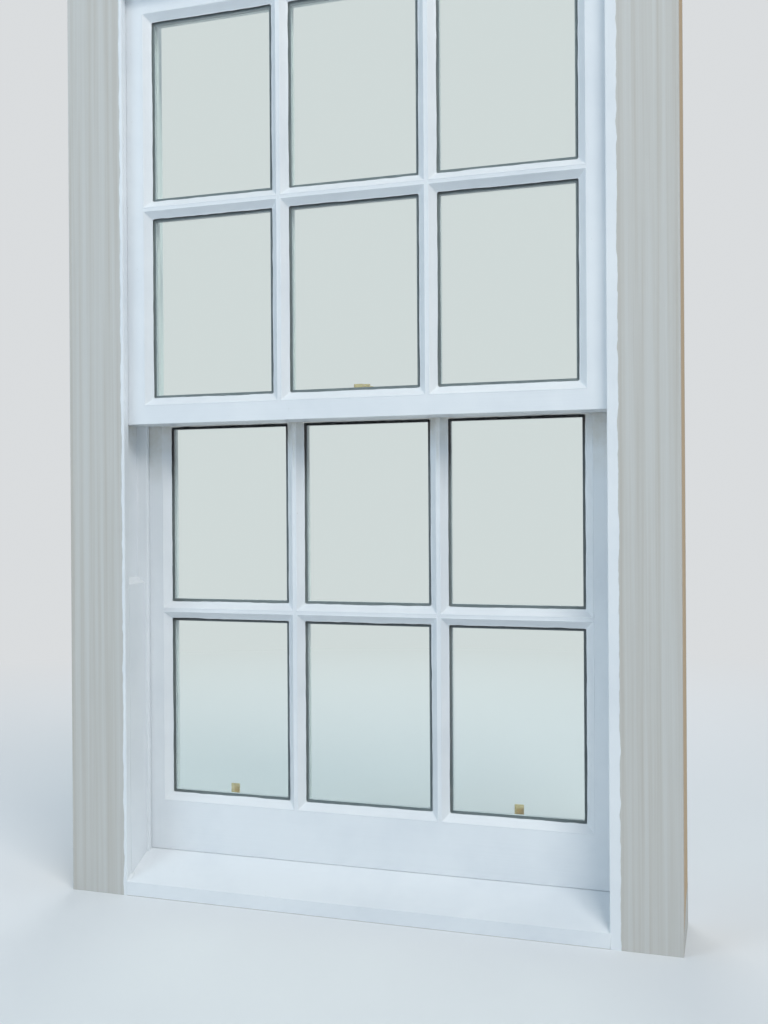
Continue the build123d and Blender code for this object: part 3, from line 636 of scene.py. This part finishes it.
# Share of the rebate's width, extra millimetres outwards, depth from the sash's face, corner
# radius, and how far the hand's wandering shows
SECTION = np.array(
    [
        (1.00, 1.10, 0.03, 1.2, 0.15),
        (1.00, 0.60, -0.16, 1.0, 0.15),
        (1.00, 0.00, -0.20, 1.0, 0.15),
        (1.00, -0.60, 0.10, 1.0, 0.15),
        (0.90, -0.20, 0.85, 1.2, 0.15),
        (0.70, 0.00, 2.85, 1.5, 0.20),
        (0.45, 0.00, 5.55, 1.8, 0.25),
        (0.20, 0.00, 8.05, 2.1, 0.45),
        (0.05, 0.10, 9.25, 2.4, 0.75),
        (0.00, -0.05, 9.75, 2.6, 1.05),
        (0.00, -0.55, 9.88, 2.8, 1.20),
        (0.00, -0.80, 10.04, 2.8, 1.20),
        (0.00, 1.00, 10.04, 2.0, 0.00),
        (1.00, -0.50, 9.90, 1.0, 0.00),
        (1.00, -0.30, 0.60, 1.0, 0.00),
    ]
)
print(len(SECTION), "points in the putty's section")

# %% [markdown]
# A ring is a grid: one row for each point of the section, and one column for each point of the
# path. Sums of sines make the edge wander, and they close on themselves, so no seam shows.


# %% Shape a ring of putty
def ring_path(side_points, corner_points):
    """Corner-centre shares and directions round a rectangle with rounded corners."""
    along = np.linspace(-1, 1, side_points, endpoint=False)
    sweep = np.linspace(0, math.pi / 2, corner_points, endpoint=False)
    ones, line = np.ones(side_points), np.ones(corner_points)
    share_x = [ones, line, -along, -line, -ones, -line, along, line]
    share_z = [along, line, ones, line, -along, -line, -ones, -line]
    turns = []
    for quarter in range(4):
        turns += [0 * ones + quarter * math.pi / 2, sweep + quarter * math.pi / 2]
    return np.concatenate(share_x), np.concatenate(share_z), np.concatenate(turns)


def wander(rng, length, waves, size):
    """A closed line that drifts from side to side: a sum of sines whose size falls with their
    number."""
    turn = np.linspace(0, 2 * math.pi, length, endpoint=False)
    count = np.arange(2, waves)
    phase = rng.uniform(0, 2 * math.pi, len(count))
    weight = rng.uniform(0.4, 1.0, len(count)) / count**0.6
    drift = (np.sin(turn[:, None] * count + phase) * weight).sum(1)
    return size * drift / np.abs(drift).max()


def putty_ring(rng, sash, column, row):
    """Points of one ring: section rows, each a rounded rectangle moved outwards by its offset."""
    share_x, share_z, angle = ring_path(SIDE_POINTS, CORNER_POINTS)
    x = (column - 1) * (PANE[0] + BAR)
    z = SIGHT_Z[sash] + row * (PANE[1] + BAR) + PANE[1] / 2
    rebate = {
        "left": SIDE_REBATE if column == 0 else BAR_REBATE,
        "right": SIDE_REBATE if column == 2 else BAR_REBATE,
        "foot": SIDE_REBATE if row == 0 else BAR_REBATE,
        "top": SIDE_REBATE if row == 1 else BAR_REBATE,
    }
    share, extra, depth, radius, loose = (SECTION[:, [i]] for i in range(5))
    reach = {side: share * width + extra for side, width in rebate.items()}
    half_x = (PANE[0] + reach["left"] + reach["right"]) / 2
    half_z = (PANE[1] + reach["foot"] + reach["top"]) / 2
    drift = wander(rng, len(angle), EDGE_WAVES, EDGE_DRIFT) * loose
    sag = wander(rng, len(angle), SAG_WAVES, SAG) * np.sin(np.pi * share)
    px = x + (reach["right"] - reach["left"]) / 2 + share_x * (half_x - radius)
    pz = z + (reach["top"] - reach["foot"]) / 2 + share_z * (half_z - radius)
    px = px + (radius + drift) * np.cos(angle)
    pz = pz + (radius + drift) * np.sin(angle)
    py = FACE_Y[sash] + depth + sag + 0 * px
    return np.stack([px, py, pz], -1) * MM


# %% [markdown]
# Each sash gets its six rings as one piece, which rides with the sash and stands for the plain
# putty of the joinery. A fixed seed for each sash gives the same wandering at every run.

# %% Lay the putty round each pane
PUTTY_SEED = {"upper": 11, "lower": 12}
# The putty takes dirt and painted shade just under the meeting rail
putty_paint = paint("putty_paint", "x", dirt_and_shade=close_under(UPPER_RAIL_FOOT_Z, 0.05))
for sash in ("upper", "lower"):
    rng = np.random.default_rng(PUTTY_SEED[sash])
    rings = [(putty_ring(rng, sash, c, r), True, True) for r in range(2) for c in range(3)]
    putty = make_piece(f"{sash}_putty_rings", rings, f"{sash}_sash", putty_paint)
    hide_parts(f"{sash}_putty")
    print(putty.name, len(putty.data.polygons), "faces")

# %% [markdown]
# Sash cord is a cotton braid: strands that wind both ways round it and cross. Two slanting
# waves on the cord's own map give the strands, and the higher of the two is the one on top;
# the colour darkens where the braid is low, as painted shade in its hollows.

# %% Braid the cord
BRAID_PITCH, BRAID_STRANDS = 0.0060, 5.0
# Colours of the braid's hollows and crests: the darker hollows are painted shade
BRAID_HOLLOW_SHADE, BRAID_CREST = (0.42, 0.38, 0.29), (0.70, 0.66, 0.55)
BRAID_RELIEF = 0.0005


def cord_braid():
    """Cotton braid: the height is the larger of sin(2 pi (along / pitch + strands * around)) and
    the same with the strands winding the other way."""
    made, tree, shader = start_material("cord_braid", Roughness=0.85)
    where = add_node(tree, "ShaderNodeUVMap", uv_map="map").outputs["UV"]
    heights = []
    for slant in (1, -1):
        parts = add_node(tree, "ShaderNodeSeparateXYZ", {"Vector": where})
        along = reckon(tree, "DIVIDE", parts.outputs["Y"], BRAID_PITCH)
        around = reckon(tree, "MULTIPLY", parts.outputs["X"], BRAID_STRANDS * slant)
        angle = reckon(tree, "MULTIPLY", reckon(tree, "ADD", along, around), 2 * math.pi)
        heights.append(reckon(tree, "SINE", angle))
    height = spread(tree, reckon(tree, "MAXIMUM", *heights), -0.6, 1.0)
    # Darker where the braid is low: painted shade in the hollows between strands
    colour = blend_colours(tree, height, BRAID_HOLLOW_SHADE, BRAID_CREST)
    tree.links.new(colour, shader.inputs["Base Color"])
    tree.links.new(bump(tree, height, BRAID_RELIEF), shader.inputs["Normal"])
    return made


braid = cord_braid()
print("cord:", braid.name)

# %% [markdown]
# A cord goes from a knot in the sash, over the pulley and down to the weight. It slides over
# the wheel, so no single piece can follow it: the half turn stays with the frame, and each
# straight run is a piece of its own, on no body.

# %% Hang the cords
CORD_R = 2.9
WHEEL_LOW, WHEEL_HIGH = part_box("upper_pulley_wheel_right")
WHEEL_X = (WHEEL_LOW.x + WHEEL_HIGH.x) / 2 / MM
PULLEY_Z = (WHEEL_LOW.z + WHEEL_HIGH.z) / 2 / MM
CORD_X, WEIGHT_X = 389.0, 441.2
TURN_R = (WEIGHT_X - CORD_X) / 2
HALF_SASH = 23.5
KNOT_X, KNOT_R, KNOT_HALF_LENGTH = 384.6, 7.2, 7
KNOT_BELOW_TOP = 230.0
CORD_INTO_WEIGHT = 14
ARC_POINTS, KNOT_POINTS, RUN_POINTS = 25, 11, 80


def tube(path, radius, sides=12):
    """A round section carried along a path in the plane of x and z, with a radius for each point.
    Both ends are closed."""
    step = np.gradient(path, axis=0)
    step /= np.linalg.norm(step, axis=1, keepdims=True)
    side = np.stack([step[:, 2], 0 * step[:, 0], -step[:, 0]], -1)
    depth = np.cross(step, side)
    angle = np.linspace(0, 2 * math.pi, sides, endpoint=False)
    cosine, sine = np.cos(angle)[None, :, None], np.sin(angle)[None, :, None]
    ring = side[:, None] * cosine + depth[:, None] * sine
    return close_ends(path[:, None] + ring * np.asarray(radius).reshape(-1, 1, 1))


def upright(x, y, low, high, count):
    """Points of an upright line at x and y, from low to high."""
    share = np.linspace(0, 1, count)
    return np.stack([x + 0 * share, y + 0 * share, low + (high - low) * share], -1)


for sash in ("upper", "lower"):
    y = FACE_Y[sash] + HALF_SASH
    for side, sign in (("left", -1), ("right", 1)):
        node = f"{sash}_cord_{side}"
        weight_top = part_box(f"{sash}_weight_{side}")[1].z / MM
        knot_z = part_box(f"{sash}_stile_{side}")[1].z / MM - KNOT_BELOW_TOP
        turn = np.linspace(math.pi, 0, ARC_POINTS)
        arc_x = sign * (WHEEL_X + TURN_R * np.cos(turn))
        arc = np.stack([arc_x, y + 0 * turn, PULLEY_Z + TURN_R * np.sin(turn)], -1)
        over = make_piece(
            f"{node}_over_pulley",
            [(tube(arc * MM, CORD_R * MM), False, True)],
            "frame",
            braid,
            as_cord=True,
        )
        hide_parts(node)
        across = np.linspace(-1, 1, KNOT_POINTS)
        knot_r = KNOT_R * np.sqrt(np.clip(1 - across**2, 0, 1))
        knot_foot, knot_top = knot_z - KNOT_HALF_LENGTH, knot_z + KNOT_HALF_LENGTH
        knot_line = upright(sign * KNOT_X, y, knot_foot, knot_top, KNOT_POINTS)
        sash_line = upright(sign * CORD_X, y, knot_z, PULLEY_Z, RUN_POINTS)
        sash_run = make_piece(
            f"{node}_sash_run",
            [
                (tube(sash_line * MM, CORD_R * MM), False, True),
                (tube(knot_line * MM, knot_r * MM), False, True),
            ],
            None,
            braid,
            as_cord=True,
        )
        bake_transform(sash_run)
        line_foot = weight_top - CORD_INTO_WEIGHT
        weight_line = upright(sign * WEIGHT_X, y, line_foot, PULLEY_Z, RUN_POINTS)
        weight_run = make_piece(
            f"{node}_weight_run",
            [(tube(weight_line * MM, CORD_R * MM), False, True)],
            None,
            braid,
            as_cord=True,
        )
        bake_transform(weight_run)
        print(node, "from", round(knot_z), "over", round(PULLEY_Z), "to", round(weight_top))

# %% [markdown]
# Screws are what make a fitting look fitted. A countersunk head is a low dome with a slot
# cut across it. Sections across the slot are carried from one rim to the other, and the
# section drops where it crosses the slot, so the slot has real walls.

# %% Shape a screw head
# Sections across a head, from -1 at one rim to 1 at the other, and those that lie in the slot
SCREW_SECTIONS = np.array(
    [-1.0, -0.97, -0.86, -0.66, -0.40, -0.19, -0.19, 0.19, 0.19, 0.40, 0.66, 0.86, 0.97, 1.0]
)
IN_SLOT = np.array([0, 0, 0, 0, 0, 0, 1, 1, 0, 0, 0, 0, 0, 0], bool)
PROUD, DOME = 0.4, 1.6
SLOT_FLOOR, HEAD_FOOT = -0.8, -0.9
ACROSS_POINTS = 9


def screw_head(at, outward, turn, radius):
    """Closed head at a point in millimetres: its height is PROUD * (DOME - r * r), less the slot.
    The head is turned about outward by turn."""
    share = np.linspace(-1, 1, ACROSS_POINTS)
    x = SCREW_SECTIONS[:, None]
    half = np.sqrt(np.clip(1 - x * x, 0, 1))
    across = half * share
    top = PROUD * (DOME - x * x - across * across)
    top = np.where(IN_SLOT[:, None], SLOT_FLOOR, top)
    foot = np.full_like(top, HEAD_FOOT)
    loop_y = np.concatenate([across, across[:, ::-1]], 1) * radius
    loop_z = np.concatenate([top, foot], 1)
    loop_x = np.broadcast_to(x * radius, loop_y.shape)
    outward = Vector(outward)
    first = outward.orthogonal().normalized()
    second = outward.cross(first)
    first, second = (
        first * math.cos(turn) + second * math.sin(turn),
        second * math.cos(turn) - first * math.sin(turn),
    )
    axes = np.array([first, second, outward])
    points = np.stack([loop_x, loop_y, loop_z], -1) @ axes
    return ((points + np.array(at)) * MM)[:, ::-1], False, True


# %% [markdown]
# Two screws hold each lift and the catch's plate, and one at each end holds a pulley's case.
# A hand stops each screw at an angle of its own, so the slots are turned at random, from a
# fixed seed.

# %% Drive the screws
LIFT_LOW, LIFT_HIGH = (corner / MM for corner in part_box("hook_lifts"))
PLATE_LOW, PLATE_HIGH = (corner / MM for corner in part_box("catch_plate"))
LIFT_HALF_WIDTH, LIFT_FACE_Y, LIFT_SCREW_RISES = 11, 55.0, (6.5, 13.5)
PLATE_SCREW_INSET, PLATE_SCREW_Y, PLATE_THICKNESS = 7, 21.0, 2.5
CASE_FACE_X, CASE_Y, CASE_SCREW_REACH = 395.2, 28.5, 45
SMALL_HEAD_R, CASE_HEAD_R = 3.6, 4.0
SCREW_SEED = 5

lift_xs = (LIFT_LOW.x + LIFT_HALF_WIDTH, LIFT_HIGH.x - LIFT_HALF_WIDTH)
plate_xs = (PLATE_LOW.x + PLATE_SCREW_INSET, PLATE_HIGH.x - PLATE_SCREW_INSET)
# Name: the body, and each head's place, outward direction and radius
SCREWS = {
    "lift_screws": (
        "lower_sash",
        [
            ((x, LIFT_FACE_Y, LIFT_LOW.z + rise), (0, 1, 0), SMALL_HEAD_R)
            for x in lift_xs
            for rise in LIFT_SCREW_RISES
        ],
    ),
    "catch_screws": (
        "lower_sash",
        [
            ((x, PLATE_SCREW_Y, PLATE_LOW.z + PLATE_THICKNESS), (0, 0, 1), SMALL_HEAD_R)
            for x in plate_xs
        ],
    ),
    "pulley_screws": (
        "frame",
        [
            ((sign * CASE_FACE_X, y, PULLEY_Z + dz), (-sign, 0, 0), CASE_HEAD_R)
            for sign in (-1, 1)
            for y in (-CASE_Y, CASE_Y)
            for dz in (-CASE_SCREW_REACH, CASE_SCREW_REACH)
        ],
    ),
}
rng = np.random.default_rng(SCREW_SEED)
for name, (body, heads) in SCREWS.items():
    sheets = [
        screw_head(at, outward, rng.uniform(0, math.pi), radius) for at, outward, radius in heads
    ]
    made = make_piece(name, sheets, body, brass, smooth=False)
    print(made.name, len(heads), "heads")

# %% [markdown]
# The corner between the sill and each jamb is filled and painted over, so no seam shows
# there. The filler is a hollow fillet: its section is a quarter circle that bends inwards,
# carried up the slope of the sill. A narrow strip fills the upright joint at the sill's end.

# %% Fill the corners over the sill
# The sill's slope as (y, z) of its two edges, and the fillet's radius, the one it starts with
# in front, the length over which it grows, and how far it reaches into the wood
SILL_FRONT, SILL_SEAT = (-67.0, 22.0), (3.0, 56.0)
FILLET = 4.5
FILLET_FRONT = 1.0
TAPER = 9.0
KEYED_IN = 1.6
# Corners of the jamb's foot: x and y, and the direction in which the fillet spreads there
JAMB_PLAN = np.array(
    [(381.2, -66.92, -1, 0), (381.2, -53.0, -1, 1), (395.2, -53.0, -1, 1), (395.2, -4.5, -1, 0)]
)
JOINT_X, JOINT_Y = (379.4, 382.7), (-66.94, -64.0)
JOINT_LEVELS = (0.4, 7.0, 14.0, 21.6)
HOLLOW_POINTS, LEG_POINTS = 7, 12


def capped(points, sign):
    """Close both ends of a run of sections, and mirror it to either jamb."""
    points = close_ends(points) * (sign, 1, 1) * MM
    return (points if sign > 0 else points[::-1]), False, True


def corner_filler(sign):
    """Point = plan corner + direction * d, height = sill + h, with (d, h) on a hollow quarter
    circle whose radius grows from the front over the taper."""
    turn = np.linspace(0, math.pi / 2, HOLLOW_POINTS)
    hollow = np.stack([1 - np.sin(turn), 1 - np.cos(turn)], -1)
    share = np.linspace(0, 1, LEG_POINTS)[:, None]
    stretch = [a + (b - a) * share for a, b in zip(JAMB_PLAN, JAMB_PLAN[1:])]
    for leg in stretch:
        leg[1:-1, 2:] = (-1, 0) if leg[0, 1] != leg[-1, 1] else (0, 1)
    plan = np.concatenate(stretch)
    back = np.clip((plan[:, 1] - SILL_FRONT[0]) / TAPER, 0, 1)
    radius = (FILLET_FRONT + (FILLET - FILLET_FRONT) * np.sin(back * math.pi / 2))[:, None, None]
    keyed = np.array([(1, -1), (-1, 1), (-1, -1)]) * KEYED_IN
    foot = radius * (1, 0) + keyed[:1] * (0, 1)
    head = radius * (0, 1) + keyed[1:2] * (1, 0)
    section = np.concatenate([foot, radius * hollow, head, keyed[2:] + 0 * radius], 1)
    away, rise = section[..., :1], section[..., 1:]
    flat = plan[:, None, :2] + plan[:, None, 2:] * away
    slope = (SILL_SEAT[1] - SILL_FRONT[1]) / (SILL_SEAT[0] - SILL_FRONT[0])
    level = SILL_FRONT[1] + slope * (flat[..., 1:] - SILL_FRONT[0])
    return capped(np.concatenate([flat, level + rise], -1), sign)


def joint_filler(sign):
    """An upright strip that fills the groove between the sill's end and the lining's edge."""
    (near, far), (front, back) = JOINT_X, JOINT_Y
    corners = np.array([(near, front), (far, front), (far, back), (near, back)])
    height = np.array(JOINT_LEVELS)
    sections = np.broadcast_to(corners, (len(height), 4, 2))
    levels = np.broadcast_to(height[:, None, None], (len(height), 4, 1))
    return capped(np.concatenate([sections, levels], -1), sign)


filler_sheets = [shape(sign) for shape in (corner_filler, joint_filler) for sign in (-1, 1)]
filler = make_piece("sill_corner_filler", filler_sheets, "frame", paint_upright)
print(filler.name, len(filler.data.polygons), "faces")

# %% [markdown]
# Floor and backdrop are one plain pale plane. Near the window it takes the window's shadow.
# Further off it fades into the colour of the backdrop, so no horizon shows through the panes.
# That colour is switched on for camera, mirror and transmitted rays only, so it adds no light.

# %% Lay the floor
BACKDROP = (0.70, 0.72, 0.735)
FLOOR_COLOUR = (0.78, 0.795, 0.81)
FADE_FROM, FADE_TO = 0.9, 3.2
HALF_FLOOR = 14.0


def seen_rays(tree):
    """1 for rays that show the backdrop, and 0 for rays that only gather light."""
    paths = add_node(tree, "ShaderNodeLightPath")
    seen = reckon(tree, "MAXIMUM", paths.outputs["Is Camera Ray"], paths.outputs["Is Glossy Ray"])
    return reckon(tree, "MAXIMUM", seen, paths.outputs["Is Transmission Ray"])


def pale_floor():
    """A pale floor whose share of backdrop grows with distance from the window."""
    made, tree, shader = start_material(
        "pale_floor", Base_Color=(*FLOOR_COLOUR, 1), Roughness=0.9
    )
    length = add_node(tree, "ShaderNodeVectorMath", {0: place(tree)}, operation="LENGTH")
    faded = spread(tree, length.outputs["Value"], FADE_FROM, FADE_TO)
    share = reckon(tree, "MULTIPLY", faded, seen_rays(tree))
    backdrop = add_node(tree, "ShaderNodeEmission", {"Color": (*BACKDROP, 1), "Strength": 1.0})
    mixed = add_node(
        tree, "ShaderNodeMixShader", {0: share, 1: shader.outputs[0], 2: backdrop.outputs[0]}
    )
    tree.links.new(mixed.outputs[0], tree.nodes["Material Output"].inputs["Surface"])
    return made


corner_signs = ((-1, -1), (1, -1), (1, 1), (-1, 1))
floor_mesh = bpy.data.meshes.new("floor")
floor_corners = [(x * HALF_FLOOR, y * HALF_FLOOR, 0) for x, y in corner_signs]
floor_mesh.from_pydata(floor_corners, [], [(0, 1, 2, 3)])
floor_mesh.materials.append(pale_floor())
floor = bpy.data.objects.new("floor", floor_mesh)
bpy.context.scene.collection.objects.link(floor)
print("floor:", 2 * HALF_FLOOR, "m wide")

# %% [markdown]
# Most of the light is cool and comes from all round, as in open shade. A large warm lamp on the
# right gives the boards their form, one fills in from the left, and one lights the room side.
# The lamps stay out of the camera's sight and out of the view through the glass, and only the
# first shows in polished metal.

# %% Light the window
SKY_LIGHT = (0.70, 0.865, 1.0)
SKY_STRENGTH = 0.46
AIM = Vector((0, 0, 0.75))
# Name, place, size in metres, power in watts, and colour
LAMPS = [
    ("key", (2.9, -3.4, 5.0), 2.6, 190, (1.0, 0.965, 0.92)),
    ("fill", (-3.0, -3.2, 2.2), 2.2, 52, (0.73, 0.88, 1.0)),
    ("room", (-0.8, 3.2, 2.4), 2.2, 48, (1.0, 0.98, 0.95)),
]

world = bpy.data.worlds.new("soft_sky")
world.use_nodes = True
bpy.context.scene.world = world
sky = world.node_tree
seen = seen_rays(sky)
ground = sky.nodes["Background"]
sky.links.new(blend_colours(sky, seen, SKY_LIGHT, BACKDROP), ground.inputs["Color"])
sky.links.new(spread(sky, seen, 0.0, 1.0, SKY_STRENGTH, 1.0), ground.inputs["Strength"])

for name, at, size, power, colour in LAMPS:
    light = bpy.data.lights.new(name, "AREA")
    light.size = size
    light.energy = power
    light.color = colour
    lamp = bpy.data.objects.new(name, light)
    bpy.context.scene.collection.objects.link(lamp)
    facing = (AIM - Vector(at)).to_track_quat("-Z", "Y")
    lamp.matrix_world = Matrix.Translation(at) @ facing.to_matrix().to_4x4()
    lamp.visible_camera = False
    lamp.visible_transmission = False
    lamp.visible_glossy = name == "key"
bpy.context.scene.view_settings.view_transform = "Standard"
print("lit by", len(LAMPS), "lamps and a soft sky")

# %% [markdown]
# Before the end, the scene's view layer is brought up to date.

# %% Finish
bpy.context.view_layer.update()
